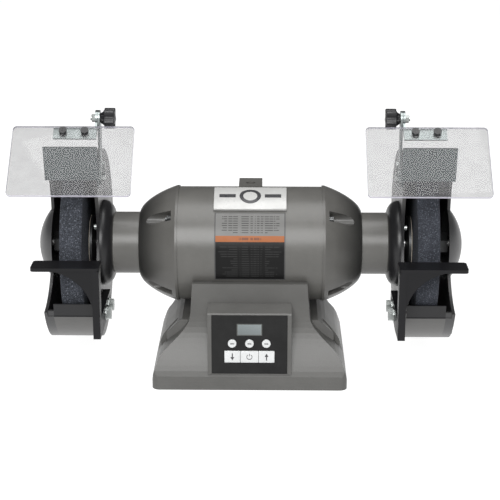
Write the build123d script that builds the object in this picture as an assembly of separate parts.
"""Bench grinder with two wheels, a long-necked motor and a control pod on the base.

Millimetres. +Z is up, +X runs along the spindle, the operator stands on the -Y side.
The origin is on the bench plane, at the centre of the base's four mounting holes.
The right-hand (+X) side is built first and mirrored for the left.
"""

import os
from math import acos, atan2, cos, degrees, hypot, radians, sin, sqrt

from build123d import *

os.makedirs("parts", exist_ok=True)

# ---------------------------------------------------------------- driving sizes
AXIS_H = 151.0  # spindle axis above the bench

# Wheel and its clamping
WHEEL_R = 101.6
WHEEL_W = 25.4
WHEEL_X = 203.0  # middle of the wheel
WHEEL_CHAMFER = 0.8
ARBOR_R = 7.9375
FLANGE_R = 33.0
FLANGE_T = 6.0
FLANGE_RIM = 9.0  # width of the flange's contact ring
FLANGE_RELIEF = 1.5
FLANGE_HUB_R = 14.0
BLOTTER_T = 0.5
NUT_AF = 24.0
NUT_T = 12.0
SHAFT_TIP = 4.0  # thread left beyond the nut

# Spindle and bearings
SPINDLE_R = 9.5  # between bearing and flange
BEARING_SEAT_R = 10.0
SHOULDER_R = 12.0
ROTOR_SEAT_R = 14.0
ROTOR_SEAT_HALF = 52.0
BEARING_W = 14.0
BEARING_R = 23.5
RACE_IN_R = 13.5
RACE_OUT_R = 20.0
BALLS = 9
RACE_CLEARANCE = 0.08
SPINDLE_CLEARANCE = 1.5

# Motor
SHELL_R = 67.5
SHELL_T = 3.5
SHELL_HALF = 84.5
STATOR_HALF = 42.0
ROTOR_R = 33.0
ROTOR_HALF = 45.0
AIR_GAP = 0.5
WINDING_LEN = 22.0
WINDING_R0 = 37.0
WINDING_INSET = 14.5  # from the shell's outside to the winding's outside
LEAD_HOLE_R = 8.0

# End bell and neck
LIP = 1.5  # how far the bell's rim stands above the shell
LIP_W = 2.8
BELL_LEN = 47.0
BELL_SPIGOT = 4.5
BELL_WALL = 5.0
BELL_CONE = 0.47  # share of the bell's fall that is straight
BELL_STEPS = 8
NECK_R = 36.8
NECK_BORE_R = 28.0
NECK_SPIGOT_R = 33.0
NECK_SPIGOT_LEN = 10.5
BOSS_R = 51.0
BOSS_LEN = 14.4
TIE_INSET = 9.5  # tie bolts in from the shell's outside
TIE_R = 2.5
TIE_POCKET_R = 6.5
TIE_POCKET_DEPTH_X = 7.5  # pocket floor from the end of the shell
TIE_BOSS_R = 8.5
TIE_HEAD_R = 4.5
TIE_HEAD_T = 5.0
TIE_FIT = 0.7

# Wheel guard
GUARD_T = 4.0
GUARD_RADIAL_GAP = 6.4
GUARD_INNER_GAP = 10.3  # wheel face to the motor-side wall
GUARD_OUTER_GAP = 16.8  # wheel face to the cover
COVER_T = 3.5
COVER_BAND = 10.6
DOME_SPHERE_R = 65.0
DOME_HEIGHT = 16.0
DOME_T = 3.0
BAND_START = -33.0  # degrees above the front horizontal
BAND_END = 66.0
LIP_PLATE_H = 17.0
LIP_PLATE_T = 2.5
MOUTH_AHEAD = 23.4  # centre of the wall's cut, ahead of the wheel's rim
MOUTH_UP = 30.0
MOUTH_UNDERSIZE = 13.6  # the cut's radius under the wheel's
COVER_MOUTH_AHEAD = 3.4
COVER_MOUTH_UP = 40.0
COVER_MOUTH_UNDERSIZE = 6.6
SPOUT_R = 22.0
SPOUT_WALL = 3.0
SPOUT_RISE = 50.0  # spout centre above the bottom of the guard
SPOUT_END_Y = 132.0
SPOUT_SOCKET = 25.0  # depth a hose end goes in
SPOUT_STEP = 2.0  # shoulder that stops it
GUARD_SCREW_CIRCLE = 39.0
GUARD_SCREW_R = 3.0
GUARD_SCREW_HEAD_R = 4.6
GUARD_SCREW_HEAD_T = 3.4
GUARD_SCREW_LEN = 13.0
COVER_SCREW_ANGLES = (84.0, 155.0, 226.0, 297.0)
COVER_SCREW_R = 2.5
COVER_SCREW_HEAD_R = 4.5
COVER_SCREW_HEAD_T = 3.0
COVER_BOSS_R = 4.5
COVER_BOSS_LEN = 7.0

# Fits between pieces
SLIDE_GAP = 0.3  # between faces that slide or turn on each other
PIN_GAP = 0.05  # radial, of the clamp stud in its holes

# Eye-shield strap, spark arrestor and their bolts
STRAP_W = 18.0
STRAP_T = 2.5
STRAP_RISE = 68.6  # from its bolt up to the pivot
STRAP_SET_BACK = 2.1
ARM_BOLT_R = 3.0
ARM_BOLT_AF = 10.0
ARM_HEAD_T = 4.0
ARM_NUT_T = 4.0
ARM_BOLT_EDGE = 6.0  # bolts in from the guard's inside
ARM_ANGLE = 65.0
FLANGE_BOLT_ANGLE = 78.0
ARRESTOR_T = 2.0
ARRESTOR_LEN = 42.0
ARRESTOR_TILT = 12.24  # leans forward at the top
ARRESTOR_ANGLE = 59.4
ARRESTOR_WHEEL_GAP = 3.5
ARRESTOR_UP = 5.0
ARRESTOR_DOWN = 1.5
ARRESTOR_MARGIN = 0.5  # plate short of the cover's outer face
ARRESTOR_WALL_GAP = 0.6  # behind the plate, to the guard's wall
SLOT_GAP = 0.3

# Eye shield, bracket, screws and knob
SHIELD_W = 138.0
SHIELD_H = 95.0
SHIELD_T = 3.0
SHIELD_X = 199.5
SHIELD_CORNER = 5.0
SHIELD_TILT = 40.7  # below the horizontal, forwards
SHIELD_START = 16.0  # top edge ahead of the pivot
SHIELD_DROP = 5.9  # pivot below the shield's front face
EAR_R = 9.0
EAR_T = 2.5
EAR_DEPTH = 6.0
EAR_REACH = 24.0  # from the pivot along the strip
STRIP_START = 0.3
STRIP_W = 15.0
STRIP_T = 2.0
STRIP_LEN = 49.0
SHIELD_SCREW_R = 2.0
SHIELD_SCREW_HEAD_R = 4.5
SHIELD_SCREW_HEAD_T = 1.8
SHIELD_SCREW_SLOT = 0.9
SHIELD_SCREW_DROP = 6.2  # below the strip's top edge
SHIELD_SCREW_FIRST = 13.3
SHIELD_SCREW_PITCH = 24.6
SHIELD_NUT_AF = 7.0
SHIELD_NUT_T = 3.0
STUD_R = 2.5
STUD_NUT_AF = 8.0
STUD_NUT_T = 4.0
STUD_TIP = 1.5
STUD_IN_KNOB = 12.0
KNOB_R = 10.0
KNOB_LOBES = 6
KNOB_LOBE_R = 3.6
KNOB_GRIP = 12.5
KNOB_HUB_R = 5.75
KNOB_HUB = 4.0

# Tool rest
REST_GAP = 2.4  # to the wheel's rim
REST_DEPTH = 29.0
REST_TOP = 10.0  # above the spindle axis
REST_T = 4.0
REST_W = 77.0
LEG_T = 8.2
BAR_DEPTH = 15.0
REST_BOTTOM = 74.0  # below the spindle axis
ARM_H = 22.0
ARM_BACK = 22.0
REST_BOLT_Z = 62.0
REST_BOLT_PITCH = 30.0
REST_BOLT_R = 4.0
REST_BOLT_AF = 13.0
REST_HEAD_T = 5.3
REST_NUT_T = 6.2
REST_OUT = 20.0
REST_IN = 1.0
WEB_T = 5.0
WEB_AHEAD = 2.0
WEB_REACH = 46.0
WEB_DROP = 50.0
REST_CORNER = 4.0

# Base
BASE_W = 228.0
BASE_D = 190.0
BASE_CORNER = 9.0
SKIRT_H = 10.0
BASE_WALL = 5.0
APRON_DROP = 28.4  # apron's top edge below the spindle axis
APRON_TOP_HALF = 67.0
APRON_KNEE_HALF = 69.5
APRON_LIP = 10.1  # apron's top edge outside the shell
APRON_KNEE_OUT = 1.0
SADDLE_T = 6.0
BULGE_SET_BACK = 8.0
BULGE_HALF_Y = 62.0
BULGE_ROUND = 45.0  # of its upright corners
BULGE_HALF = 113.0
BULGE_TOP = 75.0
VENT_Y = -45.0
VENT_W = 9.0
VENT_LOW = 37.0
VENT_HIGH = 70.0
GRILLE_T = 1.5
MOUNT_X = 98.0
MOUNT_Y = 78.0
MOUNT_HOLE_R = 3.4
MOUNT_HOLE_DEPTH = 18.0
MOUNT_BOSS_R = 12.6
MOUNT_BOSS_H = 24.0
FLOOR_Z = 2.0
FLOOR_T = 2.0
FLOOR_GAP = 0.5
FLOOR_SCREW_IN = 9.5  # in from the side of the base
FLOOR_SCREW_R = 1.65
FLOOR_SCREW_HEAD_R = 3.8
FLOOR_SCREW_HEAD_T = 1.6
FLOOR_SCREW_LEN = 10.0
FLOOR_BOSS_R = 5.0
FLOOR_BOSS_H = 16.0
SADDLE_BOLT_X = 58.0
SADDLE_BOLT_Y = 18.0
SADDLE_BOLT_R = 3.0
SADDLE_BOLT_AF = 10.0
SADDLE_BOLT_HEAD = 5.0
SADDLE_BOSS_R = 8.0
SADDLE_BOSS_DROP = 8.0  # below the shell
SHELL_PAD_R = 6.0
SHELL_PAD_TOP = 11.5  # above the bottom of the shell

# Control pod
POD_HALF = 48.5
POD_FRONT = 1.0  # ahead of the base
POD_LOW = 20.0
POD_TOP = 99.6
POD_BROW = 94.0
POD_BROW_BACK = 2.5
POD_SHELF = 22.0  # from the front to where the top is level
PANEL_W = 88.0
PANEL_LOW = 21.0
PANEL_HIGH = 93.4
PANEL_T = 2.5
PANEL_SET_IN = 0.5
PANEL_GAP = 0.2
POD_CAVITY_HALF = 40.0
POD_CAVITY_EDGE = 5.0
WINDOW_W = 29.3
WINDOW_H = 14.4
WINDOW_Z = 75.4
WINDOW_T = 1.4
KEY_GAP = 0.3
KEY_PROUD = 1.2
KEY_TRAVEL = 0.6
KEY_FLANGE = 1.2
KEY_FLANGE_T = 1.4
ROUND_KEY_R = 5.0
ROUND_KEY_Z = 58.5
ROUND_KEY_X = (-20.0, 0.0, 19.5)
STRIP_KEY_Z = 42.3
STRIP_KEY_H = 14.3
STRIP_KEY_HALF = 29.0
STRIP_KEY_SPLIT = 10.5
BOARD_T = 1.6
BOARD_BACK = 5.5  # behind the panel
BOARD_EDGE = 3.0
POST_R = 2.5

# Pieces on the shell and in the base
BADGE_W = 85.0
BADGE_ARC = 33.5
BADGE_ANGLE = 67.0
BADGE_T = 4.0
LABEL_W = 82.0
LABEL_TOP_ANGLE = 48.0
LABEL_LOW_ANGLE = -22.0
LABEL_T = 0.4
LUG_W = 27.6
LUG_RISE = 5.0  # above the shell
LUG_FRONT = -4.0  # behind the top of the shell
LUG_DEPTH = 33.0
LUG_HOLE_R = 5.5
LUG_HOLE_Y = 7.0
LUG_HOLE_DEPTH = 4.0
DRIVE_W = 90.0
DRIVE_D = 70.0
DRIVE_H = 40.0
DRIVE_FINS = 7
DRIVE_FIN_T = 4.0
DRIVE_FIN_H = 12.0
GLAND_X = 70.0
GLAND_Z = 24.0
GLAND_R = 7.5
GLAND_BORE_R = 4.0
GLAND_AF = 20.0
GLAND_OUT = 8.0
GLAND_BOSS_R = 13.0

# ---------------------------------------------------------------- places that follow
WHEEL_X0 = WHEEL_X - WHEEL_W / 2
WHEEL_X1 = WHEEL_X + WHEEL_W / 2
GUARD_X0 = WHEEL_X0 - GUARD_INNER_GAP - GUARD_T
GUARD_IN_R = WHEEL_R + GUARD_RADIAL_GAP
GUARD_R = GUARD_IN_R + GUARD_T
COVER_X1 = WHEEL_X1 + GUARD_OUTER_GAP + COVER_T
SEAM_X = COVER_X1 - COVER_BAND
BELL_X1 = SHELL_HALF + BELL_LEN
BOSS_X0 = GUARD_X0 - BOSS_LEN
BEARING_X0 = BOSS_X0 + 0.4 - BEARING_W
BEARING_X1 = BEARING_X0 + BEARING_W
TIE_CIRCLE = SHELL_R - TIE_INSET
SHELL_IN_R = SHELL_R - SHELL_T
SPINDLE_HOLE_R = SPINDLE_R + SPINDLE_CLEARANCE
NUT_X0 = WHEEL_X1 + BLOTTER_T + FLANGE_T
NUT_X1 = NUT_X0 + NUT_T
FLANGE_X0 = WHEEL_X0 - BLOTTER_T - FLANGE_T
APRON_TOP = AXIS_H - APRON_DROP
APRON_TOP_Y = sqrt(SHELL_R**2 - APRON_DROP**2) + APRON_LIP
ARRESTOR_X1 = GUARD_X0 - SLIDE_GAP
ARRESTOR_X0 = ARRESTOR_X1 - ARRESTOR_T
STRAP_X1 = ARRESTOR_X0 - SLIDE_GAP
STRAP_X0 = STRAP_X1 - STRAP_T
EAR_X0 = STRAP_X1 + SLIDE_GAP
EAR_X1 = EAR_X0 + EAR_T
REST_X1 = GUARD_X0 - SLIDE_GAP
REST_X0 = REST_X1 - LEG_T
REST_BACK_Y = -(WHEEL_R + REST_GAP)
REST_FRONT_Y = REST_BACK_Y - REST_DEPTH
POD_Y = -(BASE_D / 2 + POD_FRONT)
PANEL_Y0 = POD_Y + PANEL_SET_IN
PANEL_Y1 = PANEL_Y0 + PANEL_T
BOARD_Y0 = PANEL_Y1 + BOARD_BACK

FROM_MIN = (Align.CENTER, Align.CENTER, Align.MIN)


# ---------------------------------------------------------------- helpers
def polar(radius, angle):
    """(y, z) at a radius from the spindle, at degrees above the front horizontal."""
    return (-radius * cos(radians(angle)), radius * sin(radians(angle)))


def x_rod(radius, x0, x1, y=0.0, z=0.0):
    """Cylinder along X; y and z are measured from the spindle axis."""
    rod = Cylinder(radius, x1 - x0, align=FROM_MIN)
    return Pos(x0, y, AXIS_H + z) * Rot(0, 90, 0) * rod


def x_hex(across_flats, x0, x1, y=0.0, z=0.0):
    """Hexagonal prism along X; y and z are measured from the spindle axis."""
    prism = extrude(RegularPolygon(across_flats / 2, 6, major_radius=False), x1 - x0)
    return Pos(x0, y, AXIS_H + z) * Rot(0, 90, 0) * prism


def y_rod(radius, y0, y1, x, z):
    """Cylinder along Y; z is measured from the bench."""
    rod = Cylinder(radius, y1 - y0, align=FROM_MIN)
    return Pos(x, y0, z) * Rot(-90, 0, 0) * rod


def z_rod(radius, z0, z1, x, y):
    """Cylinder along Z; z is measured from the bench."""
    return Pos(x, y, z0) * Cylinder(radius, z1 - z0, align=FROM_MIN)


def block(x0, x1, y0, y1, z0, z1):
    """Box between two corners; z is measured from the bench."""
    low = (Align.MIN, Align.MIN, Align.MIN)
    return Pos(x0, y0, z0) * Box(x1 - x0, y1 - y0, z1 - z0, align=low)


def x_plate(face, x0, x1):
    """A face drawn in (y, z), extruded along X between two places."""
    return extrude(Plane.YZ.offset(x0) * face, x1 - x0, dir=(1, 0, 0))


def y_plate(face, y0, y1):
    """A face drawn in (x, z), extruded along Y between two places."""
    return extrude(Pos(0, y0, 0) * (Plane.XZ * face), y1 - y0, dir=(0, 1, 0))


def lifted(shape):
    """Moves a shape drawn about the spindle axis up to the axis's height."""
    return Pos(0, 0, AXIS_H) * shape


def polygon(*points):
    """Closed flat face through the points."""
    return make_face(Polyline(*points, close=True))


def turned(*points):
    """Body of revolution about the spindle, from (x, radius) points."""
    return lifted(revolve(Plane.XZ * polygon(*points), Axis.X))


def shell_patch(half_width, low, high, r0, r1):
    """Piece of a tube around the motor, between two angles above the front horizontal."""
    ring = x_rod(r1, -half_width, half_width) - x_rod(r0, -half_width, half_width)
    return ring & lifted(x_plate(sector(r1 + 20.0, low, high), -half_width, half_width))


def sector(radius, low, high):
    """Pie slice in (y, z) between two angles above the front horizontal."""
    steps = 8
    rim = [polar(radius, low + (high - low) * i / steps) for i in range(steps + 1)]
    return polygon((0, 0), *rim)


def group(*shapes):
    """Several separate solids kept in one node."""
    return Compound([solid for shape in shapes for solid in shape.solids()])


def both(shape):
    """A right-hand piece together with its mirror image, as separate solids."""
    return group(shape, mirror(shape, about=Plane.YZ))


def save(name, shape):
    """Writes one node."""
    export_step(shape, f"parts/{name}.step")


def save_pair(name, shape):
    """Writes the right-hand node and its left-hand mirror image."""
    save(f"right_{name}", shape)
    save(f"left_{name}", mirror(shape, about=Plane.YZ))


# ---------------------------------------------------------------- spindle body
def spindle_shaft():
    """One turned shaft, with a shoulder for each bearing and each inner flange."""
    tip = NUT_X1 + SHAFT_TIP
    half = [
        (ROTOR_SEAT_HALF, ROTOR_SEAT_R),
        (ROTOR_SEAT_HALF, SHOULDER_R),
        (BEARING_X0, SHOULDER_R),
        (BEARING_X0, BEARING_SEAT_R),
        (BEARING_X1 + 1.0, BEARING_SEAT_R),
        (BEARING_X1 + 1.0, SPINDLE_R),
        (FLANGE_X0, SPINDLE_R),
        (FLANGE_X0, ARBOR_R),
        (tip - 1.5, ARBOR_R),
        (tip, ARBOR_R - 1.5),
    ]
    left = [(-x, r) for x, r in reversed(half)]
    return turned((-tip, 0), *left, *half, (tip, 0))


def rotor_core():
    """Rotor laminations with an end ring at each end."""
    core = x_rod(ROTOR_R, -ROTOR_HALF, ROTOR_HALF)
    ring = x_rod(ROTOR_R - 4.0, ROTOR_HALF, ROTOR_HALF + 5.0)
    core = core + ring + mirror(ring, about=Plane.YZ)
    return core - x_rod(ROTOR_SEAT_R, -ROTOR_SEAT_HALF, ROTOR_SEAT_HALF)


def bearing_inner_rings():
    """Inner ring of each bearing, which turns with the shaft."""
    ring = x_rod(RACE_IN_R, BEARING_X0, BEARING_X1)
    ring = ring - x_rod(BEARING_SEAT_R, BEARING_X0, BEARING_X1)
    return both(ring)


def bearing():
    """Outer ring of one bearing, with its balls standing in it."""
    ring = x_rod(BEARING_R, BEARING_X0, BEARING_X1)
    ring = ring - x_rod(RACE_OUT_R, BEARING_X0, BEARING_X1)
    ball_r = (RACE_OUT_R - RACE_IN_R) / 2
    pitch_r = RACE_IN_R + RACE_CLEARANCE + ball_r
    for i in range(BALLS):
        y, z = polar(pitch_r, 360.0 * i / BALLS)
        ball = Sphere(ball_r)
        ring = ring + Pos((BEARING_X0 + BEARING_X1) / 2, y, AXIS_H + z) * ball
    return ring


def wheel():
    """Grinding wheel with broken corners and a plain bore."""
    c = WHEEL_CHAMFER
    return turned(
        (WHEEL_X0, ARBOR_R),
        (WHEEL_X0, WHEEL_R - c),
        (WHEEL_X0 + c, WHEEL_R),
        (WHEEL_X1 - c, WHEEL_R),
        (WHEEL_X1, WHEEL_R - c),
        (WHEEL_X1, ARBOR_R),
    )


def wheel_flange(face_x, way):
    """Clamping flange whose contact ring lies on face_x; way points away from the wheel."""
    back = face_x + way * FLANGE_T
    relief = face_x + way * FLANGE_RELIEF
    waist = face_x + way * FLANGE_T / 2
    return turned(
        (relief, ARBOR_R),
        (relief, FLANGE_R - FLANGE_RIM),
        (face_x, FLANGE_R - FLANGE_RIM),
        (face_x, FLANGE_R),
        (waist, FLANGE_R),
        (back, FLANGE_HUB_R),
        (back, ARBOR_R),
    )


def blotter(x0):
    """Paper washer between wheel and flange."""
    disc = x_rod(FLANGE_R, x0, x0 + BLOTTER_T)
    return disc - x_rod(ARBOR_R, x0, x0 + BLOTTER_T)


def wheel_nut():
    """Hexagon nut on the spindle's thread."""
    return x_hex(NUT_AF, NUT_X0, NUT_X1) - x_rod(ARBOR_R, NUT_X0, NUT_X1)


# ---------------------------------------------------------------- motor
def saddle_bolt_places():
    """Centres of the four bolts that hold the motor on the base."""
    return [(x, y) for x in (-SADDLE_BOLT_X, SADDLE_BOLT_X) for y in (-SADDLE_BOLT_Y, SADDLE_BOLT_Y)]


def motor_shell():
    """Rolled tube with four threaded pads inside for the saddle bolts."""
    tube = x_rod(SHELL_R, -SHELL_HALF, SHELL_HALF)
    inside = x_rod(SHELL_IN_R, -SHELL_HALF, SHELL_HALF)
    shell = tube - inside
    bottom = AXIS_H - SHELL_R
    for x, y in saddle_bolt_places():
        pad = z_rod(SHELL_PAD_R, bottom, bottom + SHELL_PAD_TOP, x, y)
        shell = shell + (pad & x_rod(SHELL_R - 1.0, -SHELL_HALF, SHELL_HALF))
        shell = shell - z_rod(SADDLE_BOLT_R, bottom - 1.0, bottom + SHELL_PAD_TOP + 1.0, x, y)
    return shell - z_rod(LEAD_HOLE_R, bottom - 1.0, bottom + SHELL_T + 2.0, 0, 0)


def tie_places():
    """(y, z) of the four tie bolts."""
    return [polar(TIE_CIRCLE, angle) for angle in (45, 135, 225, 315)]


def stator_core():
    """Stator laminations, holed for the tie bolts."""
    core = x_rod(SHELL_IN_R, -STATOR_HALF, STATOR_HALF)
    core = core - x_rod(ROTOR_R + AIR_GAP, -STATOR_HALF, STATOR_HALF)
    for y, z in tie_places():
        core = core - x_rod(TIE_R + TIE_FIT, -STATOR_HALF, STATOR_HALF, y, z)
    return core - z_rod(LEAD_HOLE_R, AXIS_H - SHELL_R, AXIS_H - SHELL_R + 12.0, 0, 0)


def stator_windings():
    """End turns of the winding, one ring at each end of the core."""
    r1 = SHELL_R - WINDING_INSET
    x0, x1 = STATOR_HALF, STATOR_HALF + WINDING_LEN
    c = 4.0
    ring = turned(
        (x0, WINDING_R0),
        (x0, r1),
        (x1 - c, r1),
        (x1, r1 - c),
        (x1, WINDING_R0 + c),
        (x1 - c, WINDING_R0),
    )
    return both(ring)


def bell_profile():
    """(x, radius) points of the bell's dome from the rim to the neck."""
    x0, x1 = SHELL_HALF + LIP_W, BELL_X1
    r0, r1 = SHELL_R + LIP, NECK_R + 0.5
    points = []
    for i in range(BELL_STEPS + 1):
        share = sin(radians(90.0 * i / BELL_STEPS))
        fall = BELL_CONE * share + (1.0 - BELL_CONE) * (1.0 - sqrt(1.0 - share**2))
        points.append((x0 + (x1 - x0) * share, r0 + (r1 - r0) * fall))
    return points


def pocket_side(floor_x, y, z):
    """Opens a tie bolt's pocket outwards, away from the axis."""
    length = BELL_X1 + 1.0 - floor_x
    box = Box(length, 2 * TIE_POCKET_R, SHELL_R, align=(Align.MIN, Align.CENTER, Align.MIN))
    return lifted(Rot(degrees(atan2(-y, z)), 0, 0) * Pos(floor_x, 0, hypot(y, z)) * box)


def end_bell():
    """Domed end casting with a spigot in the shell and a pocket for each tie bolt."""
    dome = bell_profile()
    (x0, r0), (x1, r1) = dome[0], dome[-1]
    curve = Spline(*dome, tangents=[(x1 - x0, BELL_CONE * (r1 - r0)), (0, -1)])
    rim_r = SHELL_R + LIP
    start = SHELL_HALF - BELL_SPIGOT
    outline = Polyline(
        dome[-1],
        (BELL_X1, 0),
        (start, 0),
        (start, SHELL_IN_R),
        (SHELL_HALF, SHELL_IN_R),
        (SHELL_HALF, rim_r),
        dome[0],
    )
    solid = lifted(revolve(Plane.XZ * make_face([curve, outline]), Axis.X))
    bore = NECK_SPIGOT_R
    back = BELL_X1 - NECK_SPIGOT_LEN
    hollow = turned(
        (start - 1.0, 0),
        (start - 1.0, SHELL_IN_R - BELL_WALL),
        (SHELL_HALF + LIP_W + 7.0, SHELL_IN_R - BELL_WALL),
        (x0 + 0.43 * (x1 - x0), r0 + 0.26 * (r1 - r0) - 2 * BELL_WALL + 3.0),
        (x0 + 0.57 * (x1 - x0), r0 + 0.36 * (r1 - r0) - 2 * BELL_WALL + 1.0),
        (back, r0 + 0.54 * (r1 - r0) - 2 * BELL_WALL - 0.5),
        (back, bore),
        (BELL_X1 + 1.0, bore),
        (BELL_X1 + 1.0, 0),
    )
    bell = solid - hollow
    floor_x = SHELL_HALF + TIE_POCKET_DEPTH_X
    for y, z in tie_places():
        boss = x_rod(TIE_BOSS_R, start, BELL_X1, y, z)
        bell = bell + (boss & solid)
    bell = bell - x_rod(bore, start - 1.0, BELL_X1 + 1.0)
    for y, z in tie_places():
        bell = bell - x_rod(TIE_POCKET_R, floor_x, BELL_X1 + 1.0, y, z) - pocket_side(floor_x, y, z)
        bell = bell - x_rod(TIE_R, start - 1.0, floor_x + 1.0, y, z)
    return bell


def tie_bolts():
    """Four long bolts from bell to bell, head on the right and nut on the left."""
    reach = SHELL_HALF + TIE_POCKET_DEPTH_X
    bolts = []
    for y, z in tie_places():
        rod = x_rod(TIE_R, -reach - TIE_HEAD_T - 2.0, reach, y, z)
        head = x_rod(TIE_HEAD_R, reach, reach + TIE_HEAD_T, y, z)
        nut = x_hex(2 * TIE_HEAD_R - 1.0, -reach - TIE_HEAD_T, -reach, y, z)
        bolts.append(rod + head + nut)
    return group(*bolts)


def neck():
    """Long neck casting: bearing seat inside, rounded shoulder for the guard outside."""
    spigot_x = BELL_X1 - NECK_SPIGOT_LEN
    outline = Polyline(
        (spigot_x, 0),
        (spigot_x, NECK_SPIGOT_R),
        (BELL_X1, NECK_SPIGOT_R),
        (BELL_X1, NECK_R),
        (BOSS_X0, NECK_R),
    )
    rise = BOSS_R - NECK_R
    shoulder = Spline(
        (BOSS_X0, NECK_R),
        (BOSS_X0 + BOSS_LEN * 0.10, NECK_R + rise * 0.33),
        (BOSS_X0 + BOSS_LEN * 0.25, NECK_R + rise * 0.61),
        (BOSS_X0 + BOSS_LEN * 0.54, NECK_R + rise * 0.89),
        (GUARD_X0, BOSS_R),
    )
    close = Polyline((GUARD_X0, BOSS_R), (GUARD_X0, 0), (spigot_x, 0))
    solid = lifted(revolve(Plane.XZ * make_face([*outline.edges(), shoulder, *close.edges()]), Axis.X))
    solid = solid - x_rod(NECK_BORE_R, spigot_x - 1.0, BEARING_X0)
    solid = solid - x_rod(BEARING_R, BEARING_X0 - 1.0, BEARING_X1)
    solid = solid - x_rod(SPINDLE_HOLE_R, BEARING_X1 - 1.0, GUARD_X0 + 1.0)
    for y, z in guard_screw_places():
        solid = solid - x_rod(GUARD_SCREW_R, GUARD_X0 - GUARD_SCREW_LEN + GUARD_T, GUARD_X0 + 1.0, y, z)
    return solid


# ---------------------------------------------------------------- guard
def guard_screw_places():
    """(y, z) of the four screws that hold a guard on its neck."""
    return [polar(GUARD_SCREW_CIRCLE, angle) for angle in (45, 135, 225, 315)]


def cover_screw_places():
    """(y, z) of the screws that hold a cover on its housing."""
    radius = GUARD_IN_R - COVER_BOSS_R + 0.4
    return [polar(radius, angle) for angle in COVER_SCREW_ANGLES]


def arm_bolt_place():
    """(y, z) of the bolt that holds strap and arrestor."""
    return polar(GUARD_IN_R - ARM_BOLT_EDGE, ARM_ANGLE)


def flange_bolt_place():
    """(y, z) of the bolt that holds the arrestor alone."""
    return polar(GUARD_IN_R - ARM_BOLT_EDGE, FLANGE_BOLT_ANGLE)


def rest_bolt_places():
    """(y, z) of the two bolts that hold a tool rest, kept inside the guard's band."""
    corner = REST_BOLT_AF / sqrt(3)
    front = -sqrt((GUARD_IN_R - corner - 0.1) ** 2 - REST_BOLT_Z**2)
    return [(front, -REST_BOLT_Z), (front + REST_BOLT_PITCH, -REST_BOLT_Z)]


def lower_lip(x0, x1):
    """Upright plate at the front of the guard's band, close in front of the wheel."""
    y, z = polar(GUARD_R, BAND_START - 1.0)
    lean = 2.5
    face = polygon(
        (y, z),
        (y - lean, z + LIP_PLATE_H),
        (y - lean + LIP_PLATE_T, z + LIP_PLATE_H),
        (y + LIP_PLATE_T + 1.2, z + 2.0),
        (y + LIP_PLATE_T + 1.5, z - 2.0),
    )
    return lifted(x_plate(face, x0, x1))


def mouth(x0, x1, ahead, up, undersize):
    """Round cut that opens a guard wall towards the operator."""
    return x_rod(WHEEL_R - undersize, x0, x1, -(WHEEL_R + ahead), up)


def arrestor_clearance(x0, x1):
    """Space ahead of the arrestor's back face over its whole travel."""
    uy, uz = arrestor_way()
    y0, z0 = polar(WHEEL_R + ARRESTOR_WHEEL_GAP, ARRESTOR_ANGLE)
    back = ARRESTOR_T + ARRESTOR_WALL_GAP
    low = ARRESTOR_DOWN + 2.0
    y0, z0 = y0 + uz * back - uy * low, z0 - uy * back - uz * low
    y1, z1 = y0 + uy * 80.0, z0 + uz * 80.0
    return lifted(x_plate(polygon((y0, z0), (y1, z1), (y1 - 60.0, z1), (y0 - 60.0, z0)), x0, x1))


def band(x0, x1):
    """Part of the guard's rim between its two ends."""
    ring = x_rod(GUARD_R, x0, x1) - x_rod(GUARD_IN_R, x0, x1)
    opening = lifted(x_plate(sector(GUARD_R + 40.0, BAND_START, BAND_END), x0, x1))
    return ring - opening


def guard_housing():
    """Motor-side wall, rim band, lower front lip and dust spout, cast in one."""
    wall = x_rod(GUARD_R, GUARD_X0, GUARD_X0 + GUARD_T)
    wall = wall - mouth(GUARD_X0 - 1, GUARD_X0 + GUARD_T + 1, MOUTH_AHEAD, MOUTH_UP, MOUTH_UNDERSIZE)
    wall = wall - arrestor_clearance(GUARD_X0 - 1, GUARD_X0 + GUARD_T + 1)
    spout_x = (GUARD_X0 + SEAM_X) / 2
    spout_z = AXIS_H - GUARD_R + SPOUT_RISE
    spout = y_rod(SPOUT_R, 60.0, SPOUT_END_Y, spout_x, spout_z)
    spout = spout - x_rod(GUARD_IN_R, GUARD_X0, SEAM_X)
    housing = wall + band(GUARD_X0, SEAM_X) + lower_lip(GUARD_X0, SEAM_X) + spout
    socket_r = SPOUT_R - SPOUT_WALL
    housing = housing - y_rod(socket_r - SPOUT_STEP, 60.0, SPOUT_END_Y, spout_x, spout_z)
    housing = housing - y_rod(socket_r, SPOUT_END_Y - SPOUT_SOCKET, SPOUT_END_Y + 1.0, spout_x, spout_z)
    for y, z in cover_screw_places():
        boss = x_rod(COVER_BOSS_R, SEAM_X - COVER_BOSS_LEN, SEAM_X, y, z)
        housing = housing + (boss & x_rod(GUARD_R, GUARD_X0, SEAM_X))
        housing = housing - x_rod(COVER_SCREW_R, SEAM_X - COVER_BOSS_LEN + 1.0, SEAM_X + 1.0, y, z)
    housing = housing - x_rod(SPINDLE_HOLE_R, GUARD_X0 - 1.0, GUARD_X0 + GUARD_T + 1.0)
    for y, z in guard_screw_places():
        housing = housing - x_rod(GUARD_SCREW_R, GUARD_X0 - 1.0, GUARD_X0 + GUARD_T + 1.0, y, z)
    for y, z in (arm_bolt_place(), flange_bolt_place()):
        housing = housing - x_rod(ARM_BOLT_R, GUARD_X0 - 1.0, GUARD_X0 + GUARD_T + 1.0, y, z)
    for y, z in rest_bolt_places():
        housing = housing - x_rod(REST_BOLT_R, GUARD_X0 - 1.0, GUARD_X0 + GUARD_T + 1.0, y, z)
    return housing


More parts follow.
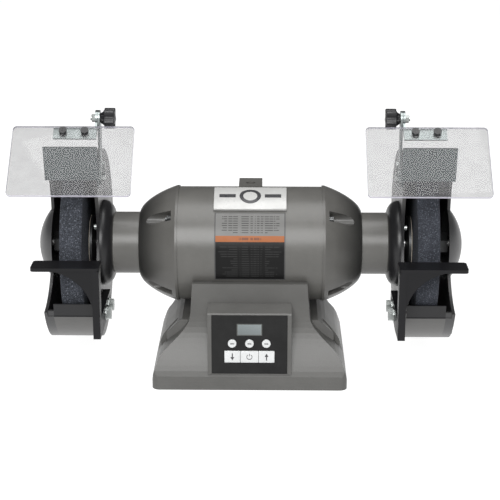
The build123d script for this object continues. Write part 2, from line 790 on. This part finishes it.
def dome_arc(radius, x0):
    """Arc in (x, radius) from the plane at x0 to the dome's tip, on the dome's centre."""
    centre = COVER_X1 + DOME_HEIGHT - DOME_SPHERE_R
    turn = acos((x0 - centre) / radius)
    points = [(centre + radius * cos(a), radius * sin(a)) for a in (turn, turn / 2, 0.0)]
    return points[0], points[2], ThreePointArc(*points)


def domed_wall():
    """Round outer wall with a hollow spherical dome in its middle."""
    inner_x = COVER_X1 - COVER_T
    foot, tip, outer = dome_arc(DOME_SPHERE_R, COVER_X1)
    inner_foot, inner_tip, inner = dome_arc(DOME_SPHERE_R - DOME_T, inner_x)
    rim = Polyline(inner_foot, (inner_x, GUARD_R), (COVER_X1, GUARD_R), foot)
    axis = Line(tip, inner_tip)
    return lifted(revolve(Plane.XZ * make_face([*rim.edges(), outer, axis, inner]), Axis.X))


def dome():
    """Hollow dome over the spindle's end, from the inside of the wall outwards."""
    rim_x = COVER_X1 - COVER_T
    foot, tip, outer = dome_arc(DOME_SPHERE_R, rim_x)
    inner_foot, inner_tip, inner = dome_arc(DOME_SPHERE_R - DOME_T, rim_x)
    return lifted(revolve(Plane.XZ * make_face([Line(inner_foot, foot), outer, Line(tip, inner_tip), inner]), Axis.X))


def guard_cover():
    """Outer wall, opened in front, with its share of the band and a whole dome."""
    cover = domed_wall() + band(SEAM_X, COVER_X1) + lower_lip(SEAM_X, COVER_X1)
    for y, z in cover_screw_places():
        boss = x_rod(COVER_BOSS_R, SEAM_X, COVER_X1, y, z)
        cover = cover + (boss & x_rod(GUARD_R, SEAM_X, COVER_X1))
    for y, z in cover_screw_places():
        cover = cover - x_rod(COVER_SCREW_R, SEAM_X - 1.0, COVER_X1 + 1.0, y, z)
    far = COVER_X1 + DOME_HEIGHT + 1.0
    cover = cover - mouth(SEAM_X - 1.0, far, COVER_MOUTH_AHEAD, COVER_MOUTH_UP, COVER_MOUTH_UNDERSIZE)
    return cover + dome()


def guard_screws():
    """Screws of both guards: four into each neck and four through each cover."""
    screws = []
    for y, z in guard_screw_places():
        face = GUARD_X0 + GUARD_T
        shank = x_rod(GUARD_SCREW_R, face - GUARD_SCREW_LEN, face, y, z)
        screws.append(shank + x_rod(GUARD_SCREW_HEAD_R, face, face + GUARD_SCREW_HEAD_T, y, z))
    for y, z in cover_screw_places():
        shank = x_rod(COVER_SCREW_R, SEAM_X - COVER_BOSS_LEN + 1.0, COVER_X1, y, z)
        head = x_rod(COVER_SCREW_HEAD_R, COVER_X1, COVER_X1 + COVER_SCREW_HEAD_T, y, z)
        screws.append(shank + head)
    return group(*[both(screw) for screw in screws])


# ---------------------------------------------------------------- strap, arrestor, bolts
def pivot_place():
    """(y, z) of the shield's clamp stud."""
    y, z = arm_bolt_place()
    return (y + STRAP_SET_BACK, z + STRAP_RISE)


def strap_face(length_from, length_to, width):
    """Round-ended strip in (y, z) between two points."""
    (y0, z0), (y1, z1) = length_from, length_to
    length = hypot(y1 - y0, z1 - z0)
    slot = SlotCenterToCenter(length, width)
    tilt = degrees(atan2(z1 - z0, y1 - y0))
    return Pos((y0 + y1) / 2, (z0 + z1) / 2) * Rot(0, 0, tilt) * slot


def shield_arm():
    """Plated strap from the guard up to the shield's clamp stud."""
    bolt, pivot = arm_bolt_place(), pivot_place()
    arm = lifted(x_plate(strap_face(bolt, pivot, STRAP_W), STRAP_X0, STRAP_X1))
    arm = arm - x_rod(ARM_BOLT_R, STRAP_X0 - 1.0, STRAP_X1 + 1.0, *bolt)
    return arm - x_rod(STUD_R + PIN_GAP, STRAP_X0 - 1.0, STRAP_X1 + 1.0, *pivot)


def arm_bolts():
    """Hexagon bolts and nuts that hold straps and arrestors on the guards."""
    inner = GUARD_X0 + GUARD_T
    bolts = []
    for place, head_x in ((arm_bolt_place(), STRAP_X0), (flange_bolt_place(), ARRESTOR_X0 - SLIDE_GAP)):
        head = x_hex(ARM_BOLT_AF, head_x - ARM_HEAD_T, head_x, *place)
        shank = x_rod(ARM_BOLT_R, head_x, inner + ARM_NUT_T, *place)
        nut = x_hex(ARM_BOLT_AF, inner, inner + ARM_NUT_T, *place)
        bolts.append(head + shank + nut)
    return group(*[both(bolt) for bolt in bolts])


def arrestor_way():
    """Unit (y, z) direction in which the arrestor rises."""
    return (-sin(radians(ARRESTOR_TILT)), cos(radians(ARRESTOR_TILT)))


def spark_arrestor():
    """Bent sheet: a plate across the wheel and a slotted flange beside the guard."""
    uy, uz = arrestor_way()
    y0, z0 = polar(WHEEL_R + ARRESTOR_WHEEL_GAP, ARRESTOR_ANGLE)
    y1, z1 = y0 + uy * ARRESTOR_LEN, z0 + uz * ARRESTOR_LEN
    plate = polygon(
        (y0, z0),
        (y1, z1),
        (y1 + uz * ARRESTOR_T, z1 - uy * ARRESTOR_T),
        (y0 + uz * ARRESTOR_T, z0 - uy * ARRESTOR_T),
    )
    sheet = lifted(x_plate(plate, ARRESTOR_X0, COVER_X1 - ARRESTOR_MARGIN))
    front, back = arm_bolt_place(), flange_bolt_place()
    edge = ARM_BOLT_R + SLOT_GAP + 4.0
    side = polygon(
        (y0, z0),
        (y0 + uy * 24.0, z0 + uz * 24.0),
        (back[0] + edge, back[1] + edge + 2.0),
        (back[0] + edge, back[1] - ARRESTOR_UP - edge),
        (front[0] + edge, front[1] - ARRESTOR_UP - edge - 1.0),
        (y0 - uy * 8.0, z0 - uz * 8.0),
    )
    sheet = sheet + lifted(x_plate(side, ARRESTOR_X0, ARRESTOR_X1))
    for y, z in (front, back):
        low = (y - uy * ARRESTOR_UP, z - uz * ARRESTOR_UP)
        high = (y + uy * ARRESTOR_DOWN, z + uz * ARRESTOR_DOWN)
        slot = strap_face(low, high, 2 * (ARM_BOLT_R + SLOT_GAP))
        sheet = sheet - lifted(x_plate(slot, ARRESTOR_X0 - 1.0, ARRESTOR_X1 + 1.0))
    return sheet


# ---------------------------------------------------------------- eye shield
def shield_frame():
    """Plane at the pivot: x along the machine, y up the shield, z out of its front."""
    y, z = pivot_place()
    tilt = radians(SHIELD_TILT)
    front = (0, -sin(tilt), cos(tilt))
    return Plane(origin=(0, y, AXIS_H + z), x_dir=(1, 0, 0), z_dir=front)


def shield_block(x0, x1, u0, u1, w0, w1):
    """Box in the shield's own frame: u runs down from the pivot, w out of the front."""
    low = (Align.MIN, Align.MIN, Align.MIN)
    box = Box(x1 - x0, u1 - u0, w1 - w0, align=low)
    return shield_frame() * (Pos(x0, -u1, w0) * box)


def eye_shield():
    """Clear flat shield with rounded corners."""
    face = RectangleRounded(SHIELD_W, SHIELD_H, SHIELD_CORNER)
    middle = -(SHIELD_START + SHIELD_H / 2)
    sheet = extrude(face, SHIELD_T)
    shield = shield_frame() * (Pos(SHIELD_X, middle, SHIELD_DROP - SHIELD_T) * sheet)
    for x, u in shield_screw_places():
        shield = shield - shield_rod(SHIELD_SCREW_R, x, u, SHIELD_DROP - SHIELD_T - 1.0, SHIELD_DROP + 1.0)
    return shield


def shield_screw_places():
    """(x, u) of the two screws through each shield."""
    u = SHIELD_START + STRIP_START + SHIELD_SCREW_DROP
    first = EAR_X0 + SHIELD_SCREW_FIRST
    return [(first, u), (first + SHIELD_SCREW_PITCH, u)]


def shield_rod(radius, x, u, w0, w1):
    """Cylinder square to the shield, in the shield's own frame."""
    rod = Cylinder(radius, w1 - w0, align=FROM_MIN)
    return shield_frame() * (Pos(x, -u, w0) * rod)


def shield_bracket():
    """Bent strip behind the shield's top edge, with an ear round the clamp stud."""
    back = SHIELD_DROP - SHIELD_T
    start = SHIELD_START + STRIP_START
    y, z = pivot_place()
    ear = x_rod(EAR_R, EAR_X0, EAR_X1, y, z)
    ear = ear + shield_block(EAR_X0, EAR_X1, 0.0, EAR_REACH, back - EAR_DEPTH, back)
    strip = shield_block(EAR_X0, EAR_X0 + STRIP_LEN, start, start + STRIP_W, back - STRIP_T, back)
    bracket = ear + strip
    for x, u in shield_screw_places():
        bracket = bracket - shield_rod(SHIELD_SCREW_R, x, u, back - STRIP_T - 1.0, back + 1.0)
    return bracket - x_rod(STUD_R + PIN_GAP, EAR_X0 - 1.0, EAR_X1 + 1.0, y, z)


def shield_screws():
    """Two slotted screws with nuts behind the bracket."""
    front = SHIELD_DROP
    back = SHIELD_DROP - SHIELD_T - STRIP_T
    screws = []
    for x, u in shield_screw_places():
        head = shield_rod(SHIELD_SCREW_HEAD_R, x, u, front, front + SHIELD_SCREW_HEAD_T)
        slot = shield_block(x - 0.5, x + 0.5, u - 5.0, u + 5.0, front + SHIELD_SCREW_SLOT, front + 4.0)
        shank = shield_rod(SHIELD_SCREW_R, x, u, back - SHIELD_NUT_T - 1.0, front)
        prism = extrude(RegularPolygon(SHIELD_NUT_AF / 2, 6, major_radius=False), SHIELD_NUT_T)
        nut = shield_frame() * (Pos(x, -u, back - SHIELD_NUT_T) * prism)
        screws.append((head - slot) + shank + nut)
    return group(*screws)


def knob_stud():
    """Threaded stud through strap and ear, with its nut."""
    y, z = pivot_place()
    hub_x = STRAP_X0 - SLIDE_GAP
    nut_x = EAR_X1 + SLIDE_GAP
    rod = x_rod(STUD_R, hub_x - STUD_IN_KNOB, nut_x + STUD_NUT_T + STUD_TIP, y, z)
    return rod + x_hex(STUD_NUT_AF, nut_x, nut_x + STUD_NUT_T, y, z)


def shield_knob():
    """Lobed clamp knob with a hub against the strap."""
    y, z = pivot_place()
    hub_x = STRAP_X0 - SLIDE_GAP
    grip_x = hub_x - KNOB_HUB
    knob = x_rod(KNOB_R - 0.5, grip_x - KNOB_GRIP, grip_x, y, z)
    for i in range(KNOB_LOBES):
        ly, lz = polar(KNOB_R - 1.1, 360.0 * i / KNOB_LOBES)
        knob = knob + x_rod(KNOB_LOBE_R, grip_x - KNOB_GRIP, grip_x, y + ly, z + lz)
    knob = knob + x_rod(KNOB_HUB_R, grip_x, hub_x, y, z)
    return knob - x_rod(STUD_R, hub_x - STUD_IN_KNOB, hub_x + 1.0, y, z)


# ---------------------------------------------------------------- tool rest
def tool_rest():
    """Cast rest: plate, upright bar, slotted lower arm and a curved web."""
    top, low = REST_TOP, -REST_BOTTOM
    plate = lifted(
        block(REST_X0, REST_X0 + REST_W, REST_FRONT_Y, REST_BACK_Y, top - REST_T, top)
    )
    upright = [
        edge
        for edge in plate.edges().filter_by(Axis.Z)
        if edge.center().Y < REST_BACK_Y - 1.0 or edge.center().X > REST_X1
    ]
    plate = fillet(upright, REST_CORNER)
    side = polygon(
        (REST_FRONT_Y, top - REST_T),
        (REST_FRONT_Y, low),
        (-ARM_BACK, low),
        (-ARM_BACK, low + ARM_H),
        (REST_FRONT_Y + BAR_DEPTH, low + ARM_H),
        (REST_FRONT_Y + BAR_DEPTH, top - REST_T - 8.0),
        (REST_BACK_Y, top - REST_T),
    )
    leg = lifted(x_plate(side, REST_X0, REST_X1))
    rest = plate + leg
    front, back = rest_bolt_places()
    slot = strap_face((front[0] - REST_IN, front[1]), (back[0] + REST_OUT, back[1]), 2 * (REST_BOLT_R + SLOT_GAP))
    rest = rest - lifted(x_plate(slot, REST_X0 - 1.0, REST_X1 + 1.0))
    web_y = REST_FRONT_Y + WEB_AHEAD
    x0, z0 = REST_X1 - 1.0, top - REST_T
    corner = (x0 + 12.5, z0 - 20.0)
    curve = Spline((x0 + WEB_REACH, z0), corner, (x0, z0 - WEB_DROP))
    edge = Polyline((x0, z0 - WEB_DROP), (x0, z0), (x0 + WEB_REACH, z0))
    web = lifted(y_plate(make_face([curve, *edge.edges()]), web_y, web_y + WEB_T))
    return rest + web


def rest_bolts():
    """Hexagon bolts, washers and nuts that hold the rests on the guards."""
    inner = GUARD_X0 + GUARD_T
    head_x = REST_X0 - SLIDE_GAP
    bolts = []
    for y, z in rest_bolt_places():
        washer = x_rod(REST_BOLT_AF * 0.62, head_x - 1.4, head_x, y, z)
        head = x_hex(REST_BOLT_AF, head_x - 1.4 - REST_HEAD_T, head_x - 1.4, y, z)
        shank = x_rod(REST_BOLT_R, head_x, inner + REST_NUT_T, y, z)
        nut = x_hex(REST_BOLT_AF, inner, inner + REST_NUT_T, y, z)
        bolts.append(head + washer + shank + nut)
    return group(*[both(bolt) for bolt in bolts])


# ---------------------------------------------------------------- base
def share_z(share):
    """Height of a share of the way from the skirt to the apron's top."""
    return SKIRT_H + share * (APRON_TOP - SKIRT_H)


def stepped(curve, steps=12):
    """Short straight facets along a curve, as a pattern-maker's template has."""
    return Polyline(*[curve @ (i / steps) for i in range(steps + 1)])


def mirrored_face(side):
    """Closed face from a right-hand outline of (edges), mirrored about the vertical."""
    left = [mirror(edge, about=Plane.YZ) for edge in side]
    return make_face([*side, *left])


def apron_front(inset):
    """Front outline of the apron in (x, z)."""
    half = BASE_W / 2 - inset
    knee = APRON_KNEE_HALF - inset
    top = APRON_TOP - inset
    low = 0.0 if inset == 0 else -1.0
    curve = [(0.0, 0.658), (0.124, 0.535), (0.355, 0.43), (0.638, 0.325), (0.852, 0.207), (0.962, 0.079), (1, 0)]
    points = [(knee + a * (half - knee), share_z(b)) for a, b in curve]
    flank = Spline(*points, tangents=[(0.06, -1), (0, -1)])
    above = Polyline((0, top), (APRON_TOP_HALF - inset, top), points[0])
    below = Polyline(points[-1], (half, low), (0, low))
    return mirrored_face([*above.edges(), *stepped(flank).edges(), *below.edges()])


def base_side(inset, set_back):
    """Side outline of the base in (y, z)."""
    half = BASE_D / 2 - inset - set_back
    top_y = APRON_TOP_Y - inset - set_back
    knee = top_y + APRON_KNEE_OUT
    top = APRON_TOP - inset
    low = 0.0 if inset == 0 else -1.0
    curve = [(0.0, 0.649), (0.227, 0.439), (0.68, 0.219), (0.93, 0.088), (1, 0)]
    points = [(knee + a * (half - knee), share_z(b)) for a, b in curve]
    flank = Spline(*points, tangents=[(0.03, -1), (0, -1)])
    above = Polyline((0, top), (top_y, top), points[0])
    below = Polyline(points[-1], (half, low), (0, low))
    return mirrored_face([*above.edges(), *stepped(flank).edges(), *below.edges()])


def bulge_front(inset):
    """Front outline of the side bulges in (x, z)."""
    half = BULGE_HALF - inset
    top = BULGE_TOP - inset
    low = 0.0 if inset == 0 else -1.0
    curve = [(0.708, 1.0), (0.779, 0.907), (0.858, 0.767), (0.92, 0.64), (0.969, 0.4), (0.996, 0.16), (1, 0.08)]
    points = [(half * a, top * b) for a, b in curve]
    flank = Spline(*points, tangents=[(1, -0.8), (0, -1)])
    above = Polyline((0, top), points[0])
    below = Polyline(points[-1], (half, low), (0, low))
    return mirrored_face([*above.edges(), *stepped(flank).edges(), *below.edges()])


def base_mass(inset):
    """Apron and side bulges as one solid, drawn in from the outside by the inset."""
    wide, deep = BASE_W / 2 + 1.0, BASE_D / 2 + 1.0
    apron = y_plate(apron_front(inset), -deep, deep) & x_plate(base_side(inset, 0.0), -wide, wide)
    radius = BASE_CORNER - inset
    x, y = BASE_W / 2 - inset - radius, BASE_D / 2 - inset - radius
    corner = block(x, wide, y, deep, -2.0, APRON_TOP) - z_rod(radius, -3.0, APRON_TOP + 1.0, x, y)
    for turn in (0, 1):
        apron = apron - corner - mirror(corner, about=Plane.YZ)
        corner = mirror(corner, about=Plane.XZ)
    half_y = BULGE_HALF_Y - inset
    bulges = y_plate(bulge_front(inset), -half_y, half_y)
    radius = BULGE_ROUND - inset
    x, y = BULGE_HALF - inset - radius, half_y - radius
    corner = block(x, wide, y, deep, -2.0, APRON_TOP) - z_rod(radius, -3.0, APRON_TOP + 1.0, x, y)
    for turn in (0, 1):
        bulges = bulges - corner - mirror(corner, about=Plane.YZ)
        corner = mirror(corner, about=Plane.XZ)
    return apron + bulges


def floor_screw_places():
    """Centres of the four screws of the plate under the base."""
    x, y = BASE_W / 2 - FLOOR_SCREW_IN, BASE_D / 2 - FLOOR_SCREW_IN
    return [(x, 0), (-x, 0), (0, y), (0, -y)]


def mount_places():
    """Centres of the four bench-bolt holes."""
    return [(x, y) for x in (-MOUNT_X, MOUNT_X) for y in (-MOUNT_Y, MOUNT_Y)]


def pod():
    """Outside of the control pod."""
    shelf = POD_Y + POD_SHELF
    side = polygon(
        (-APRON_TOP_Y + 6.0, POD_TOP),
        (shelf, POD_TOP),
        (POD_Y + POD_BROW_BACK, POD_BROW + 0.8),
        (POD_Y, POD_BROW - 0.8),
        (POD_Y, POD_LOW),
        (-APRON_TOP_Y + 6.0, POD_LOW),
    )
    return x_plate(side, -POD_HALF, POD_HALF)


def vent_cut(side, grow):
    """Vent through one bulge, cut square to the flank."""
    x0, x1 = (60.0, BASE_W) if side > 0 else (-BASE_W, -60.0)
    half = VENT_W / 2 + grow
    cut = block(x0, x1, VENT_Y - half, VENT_Y + half, VENT_LOW - grow, VENT_HIGH + grow)
    return cut


def base_casting():
    """Hollow base: apron, bulges, saddle, pod, bosses and every hole in them."""
    outside = base_mass(0.0) + pod()
    saddle = x_rod(SHELL_R + SADDLE_T, -BASE_W, BASE_W)
    hollow = base_mass(BASE_WALL) - saddle
    base = outside - hollow
    shell_bottom = AXIS_H - SHELL_R
    for x, y in mount_places():
        base = base + (z_rod(MOUNT_BOSS_R, 0, MOUNT_BOSS_H, x, y) & outside)
    for x, y in floor_screw_places():
        z0 = FLOOR_Z + FLOOR_T
        base = base + (z_rod(FLOOR_BOSS_R, z0, z0 + FLOOR_BOSS_H, x, y) & outside)
    for x, y in saddle_bolt_places():
        base = base + z_rod(SADDLE_BOSS_R, shell_bottom - SADDLE_BOSS_DROP, shell_bottom + 4.0, x, y)
    boss = y_rod(GLAND_BOSS_R, BASE_D / 2 - 16.0, BASE_D / 2, -GLAND_X, GLAND_Z)
    base = base + boss
    base = base - x_rod(SHELL_R, -SHELL_HALF, SHELL_HALF)
    for x, y in saddle_bolt_places():
        base = base - z_rod(SADDLE_BOLT_R, shell_bottom - 30.0, shell_bottom + 10.0, x, y)
    for x, y in mount_places():
        base = base - z_rod(MOUNT_HOLE_R, -1.0, MOUNT_HOLE_DEPTH, x, y)
    for x, y in floor_screw_places():
        z0 = FLOOR_Z + FLOOR_T
        base = base - z_rod(FLOOR_SCREW_R, z0 - 1.0, z0 + FLOOR_SCREW_LEN, x, y)
    base = base - z_rod(LEAD_HOLE_R, shell_bottom - 20.0, shell_bottom + 5.0, 0, 0)
    half = PANEL_W / 2
    base = base - block(-half, half, POD_Y - 1.0, PANEL_Y1, PANEL_LOW, PANEL_HIGH)
    low, high = PANEL_LOW + POD_CAVITY_EDGE, PANEL_HIGH - POD_CAVITY_EDGE
    back = -APRON_TOP_Y + BASE_WALL + 1.0
    cavity = block(-POD_CAVITY_HALF, POD_CAVITY_HALF, POD_Y, back, low, high)
    base = base - (cavity - saddle)
    base = base - y_rod(GLAND_R, BASE_D / 2 - 30.0, BASE_D / 2 + 1.0, -GLAND_X, GLAND_Z)
    base = base - vent_cut(1, 0.0) - vent_cut(-1, 0.0)
    return base


def vent_grilles():
    """Slatted plate inside the base behind each side vent."""
    outer = base_mass(BASE_WALL)
    inner = base_mass(BASE_WALL + GRILLE_T)
    skin = (outer - inner) & vent_cut(1, 3.0)
    return both(skin)


def base_cover_plate():
    """Sheet under the base, notched round the bench-bolt bosses."""
    gap = BASE_WALL + FLOOR_GAP
    plate = extrude(Rectangle(BASE_W - 2 * gap, BASE_D - 2 * gap), FLOOR_T)
    plate = Pos(0, 0, FLOOR_Z) * plate
    for x, y in mount_places():
        plate = plate - z_rod(MOUNT_BOSS_R + FLOOR_GAP, 0, 2 * FLOOR_Z + FLOOR_T, x, y)
        notch = Pos(x * 1.2, y * 1.2, FLOOR_Z) * Box(30, 24, 3 * FLOOR_T)
        plate = plate - notch
    for x, y in floor_screw_places():
        plate = plate - z_rod(FLOOR_SCREW_R, 0, 2 * FLOOR_Z + FLOOR_T, x, y)
    return plate


def base_cover_screws():
    """Pan-head screws of the plate under the base."""
    screws = []
    for x, y in floor_screw_places():
        head = z_rod(FLOOR_SCREW_HEAD_R, FLOOR_Z - FLOOR_SCREW_HEAD_T, FLOOR_Z, x, y)
        screws.append(head + z_rod(FLOOR_SCREW_R, FLOOR_Z, FLOOR_Z + FLOOR_T + FLOOR_SCREW_LEN, x, y))
    return group(*screws)


def saddle_bolts():
    """Hexagon bolts from inside the base into the shell's pads."""
    seat = AXIS_H - SHELL_R - SADDLE_BOSS_DROP
    top = AXIS_H - SHELL_R + SHELL_PAD_TOP
    bolts = []
    for x, y in saddle_bolt_places():
        prism = extrude(RegularPolygon(SADDLE_BOLT_AF / 2, 6, major_radius=False), SADDLE_BOLT_HEAD)
        head = Pos(x, y, seat - SADDLE_BOLT_HEAD) * prism
        bolts.append(head + z_rod(SADDLE_BOLT_R, seat, top, x, y))
    return group(*bolts)


# ---------------------------------------------------------------- control pod
def strip_key_spans():
    """(x0, x1) of the three keys of the lower strip."""
    half, gap = STRIP_KEY_SPLIT, KEY_GAP / 2
    return {
        "speed_down_key": (-STRIP_KEY_HALF, -half - gap),
        "power_key": (-half + gap, half - gap),
        "speed_up_key": (half + gap, STRIP_KEY_HALF),
    }


def control_panel():
    """Black faceplate with a window seat, key holes and four posts behind."""
    half = PANEL_W / 2 - PANEL_GAP
    low, high = PANEL_LOW + PANEL_GAP, PANEL_HIGH - PANEL_GAP
    panel = block(-half, half, PANEL_Y0, PANEL_Y1, low, high)
    w, h = WINDOW_W / 2, WINDOW_H / 2
    panel = panel - block(-w, w, PANEL_Y0 - 1.0, PANEL_Y0 + WINDOW_T, WINDOW_Z - h, WINDOW_Z + h)
    for x in ROUND_KEY_X:
        panel = panel - y_rod(ROUND_KEY_R + KEY_GAP, PANEL_Y0 - 1.0, PANEL_Y1 + 1.0, x, ROUND_KEY_Z)
    reach = STRIP_KEY_HALF + KEY_GAP
    tall = STRIP_KEY_H / 2 + KEY_GAP
    panel = panel - block(-reach, reach, PANEL_Y0 - 1, PANEL_Y1 + 1, STRIP_KEY_Z - tall, STRIP_KEY_Z + tall)
    for x, z in post_places():
        panel = panel + y_rod(POST_R, PANEL_Y1, BOARD_Y0, x, z)
    return panel


def post_places():
    """(x, z) of the posts between panel and board."""
    x = POD_CAVITY_HALF - BOARD_EDGE - 3.0
    low = PANEL_LOW + POD_CAVITY_EDGE + BOARD_EDGE + 3.0
    high = PANEL_HIGH - POD_CAVITY_EDGE - BOARD_EDGE - 3.0
    return [(-x, low), (x, low), (-x, high), (x, high)]


def display_window():
    """Clear window in the faceplate."""
    w, h = WINDOW_W / 2, WINDOW_H / 2
    return block(-w, w, PANEL_Y0, PANEL_Y0 + WINDOW_T, WINDOW_Z - h, WINDOW_Z + h)


def control_board():
    """Circuit board with a switch behind each key and the display's module."""
    half = POD_CAVITY_HALF - BOARD_EDGE
    low = PANEL_LOW + POD_CAVITY_EDGE + BOARD_EDGE
    high = PANEL_HIGH - POD_CAVITY_EDGE - BOARD_EDGE
    board = block(-half, half, BOARD_Y0, BOARD_Y0 + BOARD_T, low, high)
    tip = PANEL_Y1 + KEY_FLANGE_T + KEY_TRAVEL + KEY_GAP
    places = [(x, ROUND_KEY_Z) for x in ROUND_KEY_X]
    places += [((a + b) / 2, STRIP_KEY_Z) for a, b in strip_key_spans().values()]
    for x, z in places:
        board = board + y_rod(POST_R, tip, BOARD_Y0, x, z)
    w, h = WINDOW_W / 2 + 2.0, WINDOW_H / 2 + 1.5
    module = block(-w, w, PANEL_Y1 + KEY_GAP, BOARD_Y0, WINDOW_Z - h, WINDOW_Z + h)
    return board + module


def round_key(x):
    """Round key with a retaining flange behind the faceplate."""
    front = PANEL_Y0 - KEY_PROUD
    key = y_rod(ROUND_KEY_R, front, PANEL_Y1 + KEY_GAP, x, ROUND_KEY_Z)
    flange_y = PANEL_Y1 + KEY_GAP
    return key + y_rod(ROUND_KEY_R + KEY_FLANGE, flange_y, flange_y + KEY_FLANGE_T, x, ROUND_KEY_Z)


def strip_key(x0, x1):
    """One key of the strip, flanged above and below behind the faceplate."""
    front = PANEL_Y0 - KEY_PROUD
    tall = STRIP_KEY_H / 2
    back = PANEL_Y1 + KEY_GAP
    key = block(x0, x1, front, back, STRIP_KEY_Z - tall, STRIP_KEY_Z + tall)
    tall = tall + KEY_FLANGE
    return key + block(x0, x1, back, back + KEY_FLANGE_T, STRIP_KEY_Z - tall, STRIP_KEY_Z + tall)


# ---------------------------------------------------------------- small pieces
def accessory_lug():
    """Flat pad with an upright hole, seated on the top of the shell."""
    half = LUG_W / 2
    top = AXIS_H + SHELL_R + LUG_RISE
    pad = block(-half, half, LUG_FRONT, LUG_FRONT + LUG_DEPTH, AXIS_H + SHELL_R / 2, top)
    pad = pad - x_rod(SHELL_R, -half - 1.0, half + 1.0)
    return pad - z_rod(LUG_HOLE_R, top - LUG_HOLE_DEPTH, top + 1.0, 0, LUG_HOLE_Y)


def badge():
    """Thick curved plate on the upper front of the shell."""
    low, high = BADGE_ANGLE - BADGE_ARC / 2, BADGE_ANGLE + BADGE_ARC / 2
    return shell_patch(BADGE_W / 2, low, high, SHELL_R, SHELL_R + BADGE_T)


def rating_label():
    """Thin label plate on the front of the shell."""
    return shell_patch(LABEL_W / 2, LABEL_LOW_ANGLE, LABEL_TOP_ANGLE, SHELL_R, SHELL_R + LABEL_T)


def drive_unit():
    """Speed drive with cooling fins, standing on the cover plate."""
    z0 = FLOOR_Z + FLOOR_T
    half = DRIVE_W / 2
    y0 = -DRIVE_D / 2 + 10.0
    body = block(-half, half, y0, y0 + DRIVE_D, z0, z0 + DRIVE_H)
    pitch = (DRIVE_W - DRIVE_FIN_T) / (DRIVE_FINS - 1)
    for i in range(DRIVE_FINS):
        x = -half + i * pitch
        fin_z = z0 + DRIVE_H
        body = body + block(x, x + DRIVE_FIN_T, y0, y0 + DRIVE_D, fin_z, fin_z + DRIVE_FIN_H)
    return body


def cord_gland():
    """Cable gland in the back of the base: hexagon outside, locknut inside."""
    face = BASE_D / 2
    inner = face - 16.0
    gland = y_rod(GLAND_R, inner - 6.0, face, -GLAND_X, GLAND_Z)
    prism = extrude(RegularPolygon(GLAND_AF / 2, 6, major_radius=False), GLAND_OUT)
    gland = gland + Pos(-GLAND_X, face, GLAND_Z) * Rot(-90, 0, 0) * prism
    nut = extrude(RegularPolygon(GLAND_AF / 2, 6, major_radius=False), 4.0)
    gland = gland + Pos(-GLAND_X, inner - 4.0, GLAND_Z) * Rot(-90, 0, 0) * nut
    return gland - y_rod(GLAND_BORE_R, inner - 10.0, face + GLAND_OUT + 1.0, -GLAND_X, GLAND_Z)


# ---------------------------------------------------------------- write every node
save("spindle_shaft", spindle_shaft())
save("rotor_core", rotor_core())
save("bearing_inner_rings", bearing_inner_rings())
save_pair("wheel", wheel())
INNER_FLANGE = wheel_flange(WHEEL_X0 - BLOTTER_T, -1)
OUTER_FLANGE = wheel_flange(WHEEL_X1 + BLOTTER_T, 1)
save("wheel_flanges", group(both(INNER_FLANGE), both(OUTER_FLANGE)))
save("wheel_blotters", group(both(blotter(WHEEL_X0 - BLOTTER_T)), both(blotter(WHEEL_X1))))
save("wheel_nuts", both(wheel_nut()))
save_pair("bearing", bearing())

save("motor_shell", motor_shell())
save("stator_core", stator_core())
save("stator_windings", stator_windings())
save_pair("end_bell", end_bell())
save("tie_bolts", tie_bolts())
save_pair("neck", neck())

save_pair("guard_housing", guard_housing())
save_pair("guard_cover", guard_cover())
save("guard_screws", guard_screws())
save_pair("shield_arm", shield_arm())
save("arm_bolts", arm_bolts())
save_pair("spark_arrestor", spark_arrestor())

save_pair("eye_shield", eye_shield())
save_pair("shield_bracket", shield_bracket())
save_pair("shield_screws", shield_screws())
save_pair("knob_stud", knob_stud())
save_pair("shield_knob", shield_knob())

save_pair("tool_rest", tool_rest())
save("rest_bolts", rest_bolts())

save("base_casting", base_casting())
save("base_cover_plate", base_cover_plate())
save("base_cover_screws", base_cover_screws())
save("saddle_bolts", saddle_bolts())
save("vent_grilles", vent_grilles())
save("control_panel", control_panel())
save("display_window", display_window())
save("control_board", control_board())
for number, key_x in enumerate(ROUND_KEY_X, start=1):
    save(f"preset_key_{number}", round_key(key_x))
for key_name, span in strip_key_spans().items():
    save(key_name, strip_key(*span))

save("accessory_lug", accessory_lug())
save("badge", badge())
save("rating_label", rating_label())
save("drive_unit", drive_unit())
save("cord_gland", cord_gland())
